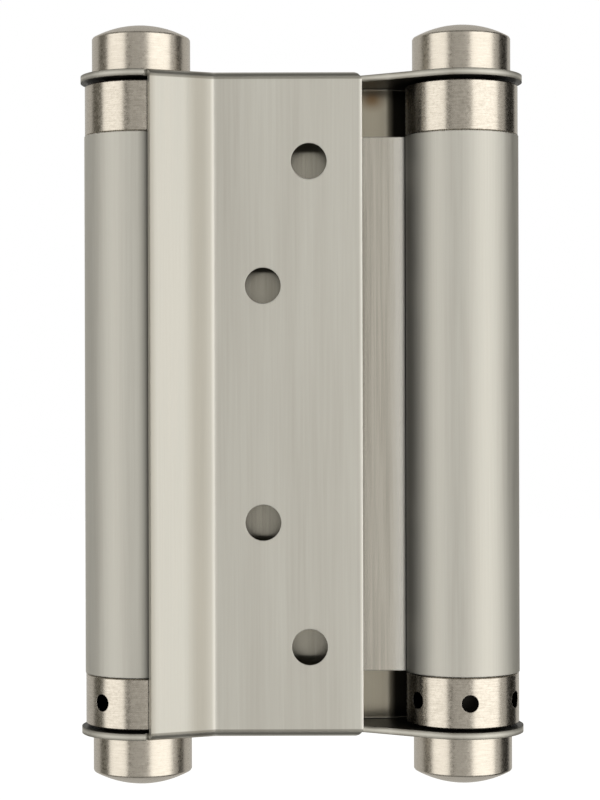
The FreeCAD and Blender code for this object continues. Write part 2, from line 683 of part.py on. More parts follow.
def add_pintle(label):
    """The pin, as long as both ears and the bores of both caps need, with chamfered ends."""
    body = new_body(label)
    sketch = new_sketch(body, "section", plane="XZ_Plane")
    stepped_outline(sketch, [
        (None, "-derived.pintle_end"),
        ("derived.pintle_radius", "-derived.pintle_end"),
        ("derived.pintle_radius", "derived.pintle_end"),
        (None, "derived.pintle_end"),
    ])
    turned = revolve(body, sketch)
    radius, end = number("derived.pintle_radius"), number("derived.pintle_end")
    lower_edge, upper_edge = round_edge(radius, -end), round_edge(radius, end)
    dress(body, "Chamfer", turned, lambda point: lower_edge(point) or upper_edge(point),
          "sizes.pintle_chamfer")
    return body


def add_washer(label):
    body = new_body(label)
    sketch = new_sketch(body, "ring")
    circle(sketch, "sizes.washer_diameter")
    circle(sketch, "derived.washer_bore")
    pad(body, sketch, "sizes.washer_thickness")
    return body


# The torsion springs, one inside each barrel.

def flat_face(corners):
    return Part.Face(Part.makePolygon(corners + corners[:1]))


def coil_section(turn):
    """Corners of the wire's square section after this many turns, the lower inner one first."""
    outward = Rotation(UPRIGHT, 360 * turn).multVec(Vector(1, 0, 0))
    climb = number("derived.coil_height") / round(number("sizes.spring_turns"))
    inner = outward * number("derived.coil_inner")
    outer = outward * number("derived.coil_outer")
    lower = UPRIGHT * (climb * turn - number("derived.coil_bottom") - number("derived.wire_half"))
    upper = lower + UPRIGHT * number("sizes.wire_size")
    return [inner + lower, outer + lower, outer + upper, inner + upper]


def add_spring(label):
    """An open coil of square wire, drawn in straight runs, with a leg at each end for the collars."""
    sides = round(number("sizes.coil_sides"))
    steps = sides * round(number("sizes.spring_turns"))
    sections = [coil_section(step / sides) for step in range(steps + 1)]
    faces = [flat_face(sections[0]), flat_face(sections[-1])]
    for near, far in zip(sections, sections[1:]):
        # The wire's inner and outer sides are flat, its upper and lower sides twist and are split.
        for first, second in ((1, 2), (3, 0)):
            faces.append(flat_face([near[first], near[second], far[second], far[first]]))
        for first, second in ((0, 1), (2, 3)):
            faces.append(flat_face([near[first], near[second], far[second]]))
            faces.append(flat_face([near[first], far[second], far[first]]))
    coil = Part.makeSolid(Part.makeShell(faces))

    # Each leg starts at the wire's end face and runs past the coil into its collar's hole.
    wire, length = number("sizes.wire_size"), number("derived.leg_length")
    lower_end, upper_end = sections[0][3], sections[-1][0]
    lower_leg = Part.makeBox(wire, wire, length, lower_end - Vector(0, wire, length))
    upper_leg = Part.makeBox(wire, wire, length, upper_end)
    spring = doc.addObject("Part::Feature", label)
    spring.Label = label
    spring.Shape = coil.fuse([lower_leg, upper_leg]).removeSplitter().Solids[0]
    return spring


# Every piece in its place: label, how it is made, and where it stands.

place(add_centre_web())
place(add_leaf("front_leaf"), across="-derived.axis_offset")
place(add_leaf("back_leaf"), across="derived.axis_offset", turn=HALF_TURN)

SIDES = [
    ("left", "-derived.axis_offset", Rotation()),
    ("right", "derived.axis_offset", HALF_TURN),
]
for side, axis, about in SIDES:
    turned = about * Rotation(UPRIGHT, number("sizes.%s_turn" % side))
    place(add_pintle(side + "_pintle"), axis)
    place(add_cap(side + "_top_cap"), axis, "derived.leaf_half")
    place(add_cap(side + "_bottom_cap"), axis, "-derived.leaf_half", UPSIDE_DOWN)
    place(add_washer(side + "_top_washer"), axis, "derived.washer_seat")
    place(add_washer(side + "_bottom_washer"), axis, "-derived.ear_inner")
    place(add_collar(side + "_top_collar", "derived.fixed_spigot"), axis, "derived.barrel_end", turned)
    place(add_adjusting_collar(side + "_adjusting_collar"), axis, "-derived.adjuster_seat",
          turned * UPSIDE_DOWN)
    place(add_spring(side + "_spring"), axis, turn=turned)

doc.recompute()


# Nothing is written unless every object is sound.

for item in doc.Objects:
    if "Invalid" in item.State or "Error" in item.State:
        raise RuntimeError("%s failed: %s" % (item.Name, item.State))

pieces = [item for item in doc.Objects if item.TypeId in ("PartDesign::Body", "Part::Feature")]
for piece in pieces:
    if piece.Shape.isNull() or not piece.Shape.isValid() or len(piece.Shape.Solids) != 1:
        raise RuntimeError(piece.Label + " has no sound solid")

os.makedirs("parts", exist_ok=True)
for piece in pieces:
    piece.Shape.exportStep("parts/%s.step" % piece.Label)
    print("%-24s %9.1f mm3" % (piece.Label, piece.Shape.Volume))
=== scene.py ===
# %% [markdown]
# A double action cafe hinge: the looks.
#
# The hinge was built as solids in a CAD program, and those solids are the real shape: folded
# leaves, rolled barrels, turned collars. This lesson loads them as they are and gives each surface
# the finish that its maker left on it, then sets up a small photographer's table around it.

# %% Load the hinge
import math

import bpy
from mathutils import Matrix, Vector


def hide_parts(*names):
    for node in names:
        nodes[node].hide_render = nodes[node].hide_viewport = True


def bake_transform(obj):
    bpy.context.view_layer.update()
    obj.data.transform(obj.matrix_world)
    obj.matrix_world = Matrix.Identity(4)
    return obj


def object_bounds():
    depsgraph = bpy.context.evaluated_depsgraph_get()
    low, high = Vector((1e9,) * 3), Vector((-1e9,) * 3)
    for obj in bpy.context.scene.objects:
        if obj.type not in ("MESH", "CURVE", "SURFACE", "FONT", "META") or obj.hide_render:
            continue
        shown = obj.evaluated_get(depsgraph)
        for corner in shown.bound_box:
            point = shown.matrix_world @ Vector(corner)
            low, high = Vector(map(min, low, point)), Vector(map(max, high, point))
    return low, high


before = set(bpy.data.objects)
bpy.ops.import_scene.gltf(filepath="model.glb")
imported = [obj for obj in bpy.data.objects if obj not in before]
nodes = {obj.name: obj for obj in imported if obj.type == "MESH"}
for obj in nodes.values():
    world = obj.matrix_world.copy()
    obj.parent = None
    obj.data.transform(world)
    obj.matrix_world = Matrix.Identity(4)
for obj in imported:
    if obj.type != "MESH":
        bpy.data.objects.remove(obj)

cad_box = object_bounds()
MM = 0.001
print("pieces:", len(nodes))

# %% [markdown]
# Three helpers serve every finish below. Colours are written as sRGB hex values, the way a colour
# picker shows them, but shaders work in linear light, so one function converts them. The second
# adds a shader node, sets it up and plugs in its inputs, which keeps each material short enough to
# read as a recipe. The third starts a material.

# %% Colour and node helpers
def linear(hex_colour):
    """An sRGB hex colour as linear RGBA."""
    channels = [int(hex_colour[i:i + 2], 16) / 255 for i in (0, 2, 4)]
    return [c / 12.92 if c <= 0.04045 else ((c + 0.055) / 1.055) ** 2.4 for c in channels] + [1.0]


def add_node(tree, kind, inputs=None, **settings):
    """A node of this kind, with its settings made and its inputs set to values or linked to sockets."""
    node = tree.nodes.new(kind)
    for name, value in settings.items():
        setattr(node, name, value)
    for name, value in (inputs or {}).items():
        if isinstance(value, bpy.types.NodeSocket):
            tree.links.new(value, node.inputs[name])
        else:
            node.inputs[name].default_value = value
    return node


def new_material(name):
    """A material with a bare Principled shader: its node tree and that shader."""
    material = bpy.data.materials.new(name)
    material.use_nodes = True
    return material, material.node_tree, material.node_tree.nodes["Principled BSDF"]


print("mid grey 808080 in linear light:", round(linear("808080")[0], 3))

# %% [markdown]
# Metal that has been handled is never even. Every pattern here is placed by the piece's own
# coordinates, so it stays on the metal when a leaf swings. All pieces have their origin in the
# middle of the hinge, with X across, Y to the back and Z up along the pins, so one set of sizes
# places the marks on all of them. Stretched noise makes scratches, rings and grain. A patch is a
# soft mask at a known place, and a mark is a colour laid on through a patch. Painted images could
# do this too, but patches keep their size in millimetres and need no unwrapping.

# %% Patterns, patches and marks
# A centre and a reach that leave an axis without limit.
ANYWHERE = (0, 1e6)


def stretch(tree, across, along):
    """Places on the piece, scaled so that one unit is this many metres across and along the pins."""
    place = add_node(tree, "ShaderNodeTexCoord")
    scale = (1 / across, 1 / across, 1 / along)
    return add_node(tree, "ShaderNodeVectorMath", {0: place.outputs["Object"], 1: scale},
                    operation="MULTIPLY").outputs[0]


def patch(tree, x=ANYWHERE, y=ANYWHERE, z=ANYWHERE, soft=1.0):
    """1 at a place on the piece, fading to 0 at its edge; each axis has a centre and a reach in mm."""
    centre, reach = zip(x, y, z)
    place = add_node(tree, "ShaderNodeTexCoord")
    offset = add_node(tree, "ShaderNodeVectorMath",
                      {0: place.outputs["Object"], 1: [c * MM for c in centre]}, operation="SUBTRACT")
    share = add_node(tree, "ShaderNodeVectorMath",
                     {0: offset.outputs[0], 1: [r * MM for r in reach]}, operation="DIVIDE")
    away = add_node(tree, "ShaderNodeVectorMath", {0: share.outputs[0]}, operation="LENGTH")
    return add_node(tree, "ShaderNodeMapRange",
                    {"Value": away.outputs["Value"], "From Min": 1.0, "From Max": 1.0 - soft},
                    interpolation_type="SMOOTHSTEP").outputs["Result"]


def add_marks(tree, colour, marks):
    """Lays marks over a colour: each is a patch, a hex colour and how strongly it covers."""
    for cover, hex_colour, strength in marks(tree):
        amount = add_node(tree, "ShaderNodeMath", {0: cover, 1: strength}, operation="MULTIPLY")
        colour = add_node(tree, "ShaderNodeMix",
                          {"Factor": amount.outputs[0], "A": colour, "B": linear(hex_colour)},
                          data_type="RGBA").outputs["Result"]
    return colour


print("origins of the pieces:", {tuple(nodes[name].matrix_world.translation) for name in nodes})

# %% [markdown]
# The leaves and the web are stainless sheet, brushed along the height of the hinge. Brushing cuts
# thousands of fine upright scratches, so a reflection smears sideways, across the scratches, and
# stays fairly crisp along them. Real grooves would take millions of faces, so the shader does it:
# its Anisotropic value smears a reflection along the tangent, and the tangent is set upright and
# turned by a quarter. Single scratches are finer than a pixel here, so they are drawn at about a
# third of a millimetre, where the eye starts to see them. Broad bands show where one pass of the
# brush ended. A sheet may also have a zone, a mask for the part of it whose surface is different.

# %% Brushed stainless sheet
SCRATCH_WIDTH, SCRATCH_LENGTH = 0.3 * MM, 18 * MM
SCRATCH_DEPTH, SCRATCH_STRENGTH = 0.006 * MM, 0.3
BAND_WIDTH, BAND_LENGTH = 4 * MM, 70 * MM
SHEET_LIGHT, SHEET_DARK = "D4D4CD", "B8B4AC"
SHEET_SMOOTHEST, SHEET_ROUGHEST = 0.29, 0.37
SHEET_EDGE = 0.25 * MM
EDGE_SAMPLES = 4
QUARTER_TURN = 0.25
# Nearly all of a noise lies between these values.
NOISE_LOW, NOISE_HIGH = 0.3, 0.7


def brushed_sheet(name, marks, zone=None, zone_rough=None, zone_metal=None):
    """Sheet brushed upright: streaks in colour, roughness and relief, and edges eased by the brush."""
    material, tree, shader = new_material(name)
    upright = add_node(tree, "ShaderNodeCombineXYZ", {"Z": 1.0})
    streaks = add_node(tree, "ShaderNodeTexNoise",
                       {"Vector": stretch(tree, SCRATCH_WIDTH, SCRATCH_LENGTH), "Scale": 1.0, "Detail": 3.0})
    bands = add_node(tree, "ShaderNodeTexNoise",
                     {"Vector": stretch(tree, BAND_WIDTH, BAND_LENGTH), "Scale": 1.0, "Detail": 2.0})
    both = add_node(tree, "ShaderNodeMath", {0: streaks.outputs["Fac"], 1: bands.outputs["Fac"]},
                    operation="ADD")
    tone = add_node(tree, "ShaderNodeMath", {0: both.outputs[0], 1: 0.5}, operation="MULTIPLY")
    colour = add_node(tree, "ShaderNodeMix",
                      {"Factor": tone.outputs[0], "A": linear(SHEET_DARK), "B": linear(SHEET_LIGHT)},
                      data_type="RGBA")
    rough = add_node(tree, "ShaderNodeMapRange",
                     {"Value": tone.outputs[0], "From Min": NOISE_LOW, "From Max": NOISE_HIGH,
                      "To Min": SHEET_SMOOTHEST, "To Max": SHEET_ROUGHEST})
    eased = add_node(tree, "ShaderNodeBevel", {"Radius": SHEET_EDGE}, samples=EDGE_SAMPLES)
    relief = add_node(tree, "ShaderNodeBump",
                      {"Strength": SCRATCH_STRENGTH, "Distance": SCRATCH_DEPTH,
                       "Height": streaks.outputs["Fac"], "Normal": eased.outputs["Normal"]})
    shader.inputs["Metallic"].default_value = 1.0
    shader.inputs["Anisotropic"].default_value = 1.0
    shader.inputs["Anisotropic Rotation"].default_value = QUARTER_TURN
    if zone:
        cover = zone(tree)
        rough = add_node(tree, "ShaderNodeMapRange",
                         {"Value": cover, "To Min": rough.outputs["Result"], "To Max": zone_rough})
        if zone_metal is not None:
            bare = add_node(tree, "ShaderNodeMapRange",
                            {"Value": cover, "To Min": 1.0, "To Max": zone_metal})
            tree.links.new(bare.outputs["Result"], shader.inputs["Metallic"])
    tree.links.new(add_marks(tree, colour.outputs["Result"], marks), shader.inputs["Base Color"])
    tree.links.new(rough.outputs["Result"], shader.inputs["Roughness"])
    tree.links.new(relief.outputs["Normal"], shader.inputs["Normal"])
    tree.links.new(upright.outputs["Vector"], shader.inputs["Tangent"])
    return material


print("scratches:", round(SCRATCH_WIDTH / MM, 2), "mm wide")

# %% [markdown]
# The two leaves are one part turned round, so both take their marks from the same functions, with a side of
# -1 for the leaf whose barrel is on the left and 1 for the other. Painted shade lies in a band beside the
# crease and along the edge at the barrel, and painted highlights lie on the crease's ridge and along the
# free edge.
# The side that faces the web has a colour of its own, which on the front leaf is painted shade, and the
# slanted part in there is painted black as shade for the gap by the collar.

# %% Marks along the leaves
# Distances from the middle of the hinge, in millimetres.
CREASE = 13.36
BARREL_EDGE = 22.5
FREE_EDGE = 9.1
EAR_INNER, EAR_MIDDLE = 49.0, 49.5
# Where the marks lie beside those places, and how far they reach.
CREASE_SHADE_OFFSET, CREASE_SHADE_REACH = 1.9, 2.7
RIDGE_OFFSET, RIDGE_REACH = 0.2, 0.6
BARREL_EDGE_SHADE_REACH = 1.1
EDGE_REACH = 0.6
SLANT_REACH = 10
MARGIN = 0.1
# A surface starts to count as facing a direction at the first value, and fully at the second.
FACING_LOW, FACING_HIGH = 0.3, 0.7
# Painted shade, near black, for the dark gaps inside the hinge.
GAP_SHADE = "141310"


def crease_marks(tree, side):
    """Painted shade beside the crease and at the barrel's edge, and painted highlights on the ridge and free
    edge.
    """
    # Painted shade in a band beside the crease and along the edge at the barrel; painted highlights on the
    # crease's ridge and the free edge.
    crease_shade = patch(tree, x=(side * (CREASE + CREASE_SHADE_OFFSET), CREASE_SHADE_REACH), soft=0.9)
    barrel_edge_shade = patch(tree, x=(side * BARREL_EDGE, BARREL_EDGE_SHADE_REACH))
    ridge = patch(tree, x=(side * (CREASE - RIDGE_OFFSET), RIDGE_REACH))
    edge = patch(tree, x=(-side * FREE_EDGE, EDGE_REACH))
    return [(crease_shade, "9A958A", 0.6), (barrel_edge_shade, "A09B90", 0.6), (ridge, "EAE8E2", 0.5), (edge, "F6F4EE", 0.9)]


def between_ears(tree):
    """1 between the inner sides of a leaf's ears, and 0 beyond."""
    return patch(tree, z=(0, EAR_INNER - MARGIN), soft=0.003)


def inner_side(tree, side):
    """1 on the side of a leaf that faces the web, between its ears, and 0 elsewhere."""
    place = add_node(tree, "ShaderNodeTexCoord")
    facing = add_node(tree, "ShaderNodeVectorMath", {0: place.outputs["Normal"], 1: (0, -side, 0)},
                      operation="DOT_PRODUCT")
    inward = add_node(tree, "ShaderNodeMapRange",
                      {"Value": facing.outputs["Value"], "From Min": FACING_LOW, "From Max": FACING_HIGH})
    return add_node(tree, "ShaderNodeMath", {0: inward.outputs["Result"], 1: between_ears(tree)},
                    operation="MULTIPLY").outputs[0]


def inner_colour_and_shade(tree, side, inner_colour, inner_cover):
    """The colour of a leaf's inner side, and painted shade on the slanted part of it."""
    inside = inner_side(tree, side)
    # Painted shade on the slanted part of the inner side, in the gap by the collar.
    slant = patch(tree, x=(side * (CREASE + SLANT_REACH), SLANT_REACH), soft=0.12)
    slant_shade = add_node(tree, "ShaderNodeMath", {0: inside, 1: slant}, operation="MULTIPLY")
    return [(inside, inner_colour, inner_cover), (slant_shade.outputs[0], GAP_SHADE, 0.95)]


print("crease to free edge:", round(CREASE + FREE_EDGE, 2), "mm")

# %% [markdown]
# A leaf's ears are cut from the same sheet and folded over the ends of its barrel. An ear's rim is darker,
# with a painted highlight along its middle, and the side towards the collar is painted black as shade. To
# tell rim and sides apart, the mask compares the way that the surface faces with the end of the hinge that
# it lies at.

# %% Marks on the ears
RIM_HIGHLIGHT_REACH = 0.42
EAR_SHADE_START, EAR_SHADE_FULL = -0.5, -0.9


def ear_side(tree):
    """About 1 on an ear's outer side, -1 on the side towards its collar and 0 on its rim."""
    place = add_node(tree, "ShaderNodeTexCoord")
    where = add_node(tree, "ShaderNodeSeparateXYZ", {"Vector": place.outputs["Object"]})
    facing = add_node(tree, "ShaderNodeSeparateXYZ", {"Vector": place.outputs["Normal"]})
    end = add_node(tree, "ShaderNodeMath", {0: where.outputs["Z"], 1: EAR_INNER * MM}, operation="DIVIDE")
    return add_node(tree, "ShaderNodeMath", {0: end.outputs[0], 1: facing.outputs["Z"]},
                    operation="MULTIPLY").outputs[0]


def ear_marks(tree):
    """The darker rims of a leaf's ears, painted shade on their inner sides and painted highlights along the
    rims.
    """
    turned = ear_side(tree)
    ear_shade = add_node(tree, "ShaderNodeMapRange",
                       {"Value": turned, "From Min": EAR_SHADE_START, "From Max": EAR_SHADE_FULL})
    flat = add_node(tree, "ShaderNodeMath", {0: turned}, operation="ABSOLUTE")
    on_rim = add_node(tree, "ShaderNodeMapRange",
                      {"Value": flat.outputs[0], "From Min": FACING_HIGH, "From Max": FACING_LOW})
    on_ear = add_node(tree, "ShaderNodeMath", {0: 1.0, 1: between_ears(tree)}, operation="SUBTRACT")
    darker_rim = add_node(tree, "ShaderNodeMath", {0: on_rim.outputs["Result"], 1: on_ear.outputs[0]},
                       operation="MULTIPLY")
    # The rims are darkened, and the sides towards the collars get painted shade.
    marks = [(darker_rim.outputs[0], "6E6A60", 0.6), (ear_shade.outputs["Result"], GAP_SHADE, 0.9)]
    # Each rim gets a painted highlight along its middle.
    for end in (-1, 1):
        middle = patch(tree, z=(end * EAR_MIDDLE, RIM_HIGHLIGHT_REACH))
        rim_highlight = add_node(tree, "ShaderNodeMath", {0: on_rim.outputs["Result"], 1: middle},
                          operation="MULTIPLY")
        marks.append((rim_highlight.outputs[0], "DAD8D0", 0.7))
    return marks


print("middle of an ear's rim:", EAR_MIDDLE, "mm from the middle of the hinge")

# %% [markdown]
# Now the leaves get their finish: brushed stainless, which gives the eye a broad satin sheen with fine
# upright streaks. Inside, the front leaf is painted dark as shade for the gap behind it, and its zone there
# is matt and hardly metallic. The back leaf's inner side is paler, and it has a brown heat stain near the
# top.

# %% The two leaves
MATT_INNER_METAL, MATT_INNER_ROUGH = 0.1, 0.6
STAIN_X, STAIN_Y, STAIN_Z = (11.0, 2.8), (5.2, 1.0), (47.4, 2.4)


def front_leaf_marks(tree):
    """The marks of the leaf whose barrel is on the left."""
    # The front leaf's dark inner colour, 4C4A42, is painted shade for the gap behind it.
    return crease_marks(tree, -1) + inner_colour_and_shade(tree, -1, "4C4A42", 0.9) + ear_marks(tree)


def back_leaf_marks(tree):
    """The marks of the leaf whose barrel is on the right, and its heat stain."""
    stain = patch(tree, x=STAIN_X, y=STAIN_Y, z=STAIN_Z)
    return (crease_marks(tree, 1) + inner_colour_and_shade(tree, 1, "DCD0B4", 0.5) + ear_marks(tree)
            + [(stain, "8C6430", 0.75)])


def matt_inner_zone(tree):
    """The matt, hardly metallic zone on the front leaf's inner side."""
    return inner_side(tree, -1)


def coat(name, material):
    """Gives a piece one finish."""
    nodes[name].data.materials.clear()
    nodes[name].data.materials.append(material)


coat("front_leaf", brushed_sheet("brushed_stainless_front_leaf", front_leaf_marks, zone=matt_inner_zone,
                                 zone_rough=MATT_INNER_ROUGH, zone_metal=MATT_INNER_METAL))
coat("back_leaf", brushed_sheet("brushed_stainless_back_leaf", back_leaf_marks))
for name in ("front_leaf", "back_leaf"):
    print(name, "is", nodes[name].data.materials[0].name)

# %% [markdown]
# The web is one sheet with a barrel rolled at each edge, in an S. Its flat shows in the gap between the
# leaves and through the screw holes. It was brushed more lightly than the rest, so it is smoother, with
# longer streaks, and its middle, behind the leaves, is painted darker as shade. A painted highlight runs
# where the flat turns into a barrel, with painted shade in the corner behind it and a painted shadow along
# the leaf's edge. One barrel has painted shade on its outer flank.

# %% The web and its barrels
# Sizes and distances in millimetres, as for the leaves.
AXIS = 24.5
BARREL_RADIUS = 8.7
FLAT_REACH = 16.5
FLAT_ROUGH = 0.19
SHADE_BEHIND_REACH = 9.5
TURN_START, TURN_REACH = 15.5, 2.6
FLANK_SHADE_REACH = 3.4
CORNER_REACH = 6
CORNER_DEPTH, CORNER_DEPTH_REACH = -2, 11
LEAF_SHADOW_OFFSET, LEAF_SHADOW_REACH = 0.2, 2.4
STREAK_WIDTH, STREAK_LENGTH = 0.35 * MM, 22 * MM
STREAK_FAINT, STREAK_FULL = 0.42, 0.72
# Painted shade and shadow beside the barrels.
BARREL_SHADE = "24231F"


def flat_of_web(tree):
    """1 on the flat of the web and 0 on its barrels."""
    return patch(tree, x=(0, FLAT_REACH), soft=0.15)


def barrel_marks(tree, side):
    """The painted highlight, shade and shadow of one barrel; side is -1 for the left one, 1 for the right.
    """
    # A painted highlight where the flat turns into the barrel, painted shade in the corner between them, and
    # a painted shadow along the leaf's edge.
    bright = patch(tree, x=(side * TURN_START, TURN_REACH))
    barrel = patch(tree, x=(side * AXIS, BARREL_RADIUS + MARGIN), soft=0.01)
    corner = patch(tree, x=(side * (AXIS - BARREL_RADIUS), CORNER_REACH),
                   y=(CORNER_DEPTH, CORNER_DEPTH_REACH))
    web_side_shade = add_node(tree, "ShaderNodeMath", {0: barrel, 1: corner}, operation="MULTIPLY")
    leaf_edge_shadow = patch(tree, x=(side * (BARREL_EDGE - LEAF_SHADOW_OFFSET), LEAF_SHADOW_REACH),
                   y=(side * BARREL_RADIUS, LEAF_SHADOW_REACH))
    return [(bright, "F4F2EC", 0.85), (web_side_shade.outputs[0], BARREL_SHADE, 0.85), (leaf_edge_shadow, BARREL_SHADE, 0.8)]


def web_marks(tree):
    """The pale tone, painted shade and streaks of the flat, painted shade on one outer flank, and both
    barrels' marks.
    """
    on_flat = flat_of_web(tree)
    # Painted shade over the middle of the flat, behind the leaves.
    shade_behind_leaves = patch(tree, x=(0, SHADE_BEHIND_REACH), soft=0.2)
    coarse = add_node(tree, "ShaderNodeTexNoise",
                      {"Vector": stretch(tree, STREAK_WIDTH, STREAK_LENGTH), "Scale": 1.0, "Detail": 3.0})
    deep = add_node(tree, "ShaderNodeMapRange",
                    {"Value": coarse.outputs["Fac"], "From Min": STREAK_FAINT, "From Max": STREAK_FULL})
    streaky = add_node(tree, "ShaderNodeMath", {0: on_flat, 1: deep.outputs["Result"]},
                       operation="MULTIPLY")
    # Painted shade on the right barrel's outer flank.
    outer_flank_shade = patch(tree, x=(AXIS + BARREL_RADIUS, FLANK_SHADE_REACH))
    flat_marks = [(on_flat, "E4DDD0", 0.45), (shade_behind_leaves, "8E8C80", 0.55), (streaky.outputs[0], "8A8274", 0.28),
                  (outer_flank_shade, "6E6A5F", 0.4)]
    return flat_marks + barrel_marks(tree, -1) + barrel_marks(tree, 1)


coat("centre_web", brushed_sheet("brushed_stainless_web", web_marks, zone=flat_of_web,
                                 zone_rough=FLAT_ROUGH))
print("centre_web is", nodes["centre_web"].data.materials[0].name)

# %% [markdown]
# Collars, caps and pins were turned on a lathe, which leaves fine rings. The rings smear a reflection along
# the pin, so the bands of light stay sharp from side to side: that is what makes these pieces look brighter
# and harder than the sheet, though the metal is the same. The caps were polished after turning. The collars
# were only tumbled, so they are greyer, with a fine grain, and their holes and end faces are painted black
# as shade. The real rings are too fine to show, so they are drawn at about a tenth of a millimetre, and the
# grain at a little under half of one.

# %% Turned stainless
RING_WIDTH, RING_RUN = 0.12 * MM, 1.6 * MM
GRAIN_SIZE = 0.4 * MM
RING_DEPTH, RING_STRENGTH = 0.004 * MM, 0.08
TURNED_EDGE = 0.1 * MM
TURNED_LIGHT = "D9D2C7"
POLISHED_DARK, TUMBLED_DARK = "C4BDB2", "BAB3A8"
POLISHED_ROUGH, TUMBLED_ROUGH = 0.3, 0.27
ROUGH_SPREAD = 0.05
# Nearly all of two noises added together lies between these values.
SUM_LOW, SUM_HIGH = 0.7, 1.3


def turned_steel(name, dark, roughness, marks):
    """Bar turned on a lathe: rings and grain in colour, roughness and relief."""
    material, tree, shader = new_material(name)
    upright = add_node(tree, "ShaderNodeCombineXYZ", {"Z": 1.0})
    rings = add_node(tree, "ShaderNodeTexNoise",
                     {"Vector": stretch(tree, RING_RUN, RING_WIDTH), "Scale": 1.0, "Detail": 2.0})
    grain = add_node(tree, "ShaderNodeTexNoise",
                     {"Vector": stretch(tree, GRAIN_SIZE, GRAIN_SIZE), "Scale": 1.0, "Detail": 3.0})
    both = add_node(tree, "ShaderNodeMath", {0: rings.outputs["Fac"], 1: grain.outputs["Fac"]},
                    operation="ADD")
    tone = add_node(tree, "ShaderNodeMapRange",
                    {"Value": both.outputs[0], "From Min": SUM_LOW, "From Max": SUM_HIGH})
    colour = add_node(tree, "ShaderNodeMix",
                      {"Factor": tone.outputs["Result"], "A": linear(dark), "B": linear(TURNED_LIGHT)},
                      data_type="RGBA")
    rough = add_node(tree, "ShaderNodeMapRange",
                     {"Value": grain.outputs["Fac"], "From Min": NOISE_LOW, "From Max": NOISE_HIGH,
                      "To Min": roughness - ROUGH_SPREAD, "To Max": roughness + ROUGH_SPREAD})
    eased = add_node(tree, "ShaderNodeBevel", {"Radius": TURNED_EDGE}, samples=EDGE_SAMPLES)
    relief = add_node(tree, "ShaderNodeBump",
                      {"Strength": RING_STRENGTH, "Distance": RING_DEPTH,
                       "Height": tone.outputs["Result"], "Normal": eased.outputs["Normal"]})
    shader.inputs["Metallic"].default_value = 1.0
    shader.inputs["Anisotropic"].default_value = 0.5
    tree.links.new(add_marks(tree, colour.outputs["Result"], marks), shader.inputs["Base Color"])
    tree.links.new(rough.outputs["Result"], shader.inputs["Roughness"])
    tree.links.new(relief.outputs["Normal"], shader.inputs["Normal"])
    tree.links.new(upright.outputs["Vector"], shader.inputs["Tangent"])
    return material


print("rings:", round(RING_WIDTH / MM, 2), "mm wide")

# %% [markdown]
# Each collar is coated with its own barrel's finish, because its marks lie about its own axis: painted shade
# everywhere inside the turned skin, and painted shade on the side towards the web. The caps and pins have no
# marks, so all of them share one finish.

# %% Collars, caps and pins
COLLAR_RADIUS = 8.6
COLLAR_DIRT_REACH = 3.6
# Painted shade for the collars' holes and end faces and for their side towards the web.
COLLAR_SHADE = "0A0908"


def collar_marks(side):
    """The marks of a collar; side is -1 for the left barrel's, 1 for the right one's."""
    def marks(tree):
        # Painted shade inside the turned skin and on the side towards the web.
        within = COLLAR_RADIUS - MARGIN
        inside = patch(tree, x=(side * AXIS, within), y=(0, within), soft=0.02)
        web_side_shade = patch(tree, x=(side * (AXIS - COLLAR_RADIUS), COLLAR_DIRT_REACH))
        return [(inside, COLLAR_SHADE, 0.97), (web_side_shade, COLLAR_SHADE, 0.9)]
    return marks


def no_marks(tree):
    """The marks of a clean piece."""
    return []


# Polished: crisp upright stripes of light. Tumbled: the same stripes, greyer and grainier.
polished = turned_steel("polished_turned_stainless", POLISHED_DARK, POLISHED_ROUGH, no_marks)
for side, word in ((-1, "left"), (1, "right")):
    tumbled = turned_steel(word + "_tumbled_stainless", TUMBLED_DARK, TUMBLED_ROUGH, collar_marks(side))
    for name in (word + "_top_collar", word + "_adjusting_collar"):
        coat(name, tumbled)
    for name in (word + "_top_cap", word + "_bottom_cap", word + "_pintle"):
        coat(name, polished)
    print(word, "barrel:", tumbled.name, "and", polished.name)

# %% [markdown]
# The springs hide inside the barrels, and thin washers lie in the gaps between collars and ears.
# Spring wire is dark from its oil and heat treatment and gives a dim, blurred gleam. The thrust
# washers are moulded black nylon, which looks like the dark of the gap that they fill. Both need
# little more than the right colour, with a fine grain so that it isn't flat.

# %% Spring wire and nylon
WIRE_GRAIN, NYLON_GRAIN = 0.6 * MM, 0.4 * MM


def dull_finish(name, light, dark, grain, metallic, roughness):
    """A plain inner surface with a fine grain in its colour."""
    material, tree, shader = new_material(name)
    speckle = add_node(tree, "ShaderNodeTexNoise",
                       {"Vector": stretch(tree, grain, grain), "Scale": 1.0, "Detail": 2.0})
    colour = add_node(tree, "ShaderNodeMix",
                      {"Factor": speckle.outputs["Fac"], "A": linear(dark), "B": linear(light)},
                      data_type="RGBA")
    shader.inputs["Metallic"].default_value = metallic
    shader.inputs["Roughness"].default_value = roughness
    tree.links.new(colour.outputs["Result"], shader.inputs["Base Color"])
    return material


spring_wire = dull_finish("oiled_spring_steel", "6A6560", "3E3A36", WIRE_GRAIN, metallic=1.0, roughness=0.42)
nylon = dull_finish("moulded_black_nylon", "1E1D1C", "131211", NYLON_GRAIN, metallic=0.0, roughness=0.5)
washers = [name for name in nodes if name.endswith("washer")]
for name in washers:
    coat(name, nylon)
print("washers of", nylon.name + ":", len(washers))

# %% [markdown]
# The springs' solids are square in section and drawn in straight runs, to keep them light. Here each spring
# gets its round wire back: a curve through the coil and both legs, thickened by a bevel and turned into a
# mesh. A screw modifier could wind the coil but not the bends into its legs. The upper leg stays in the
# barrel while the lower leg turns with the adjusting collar.

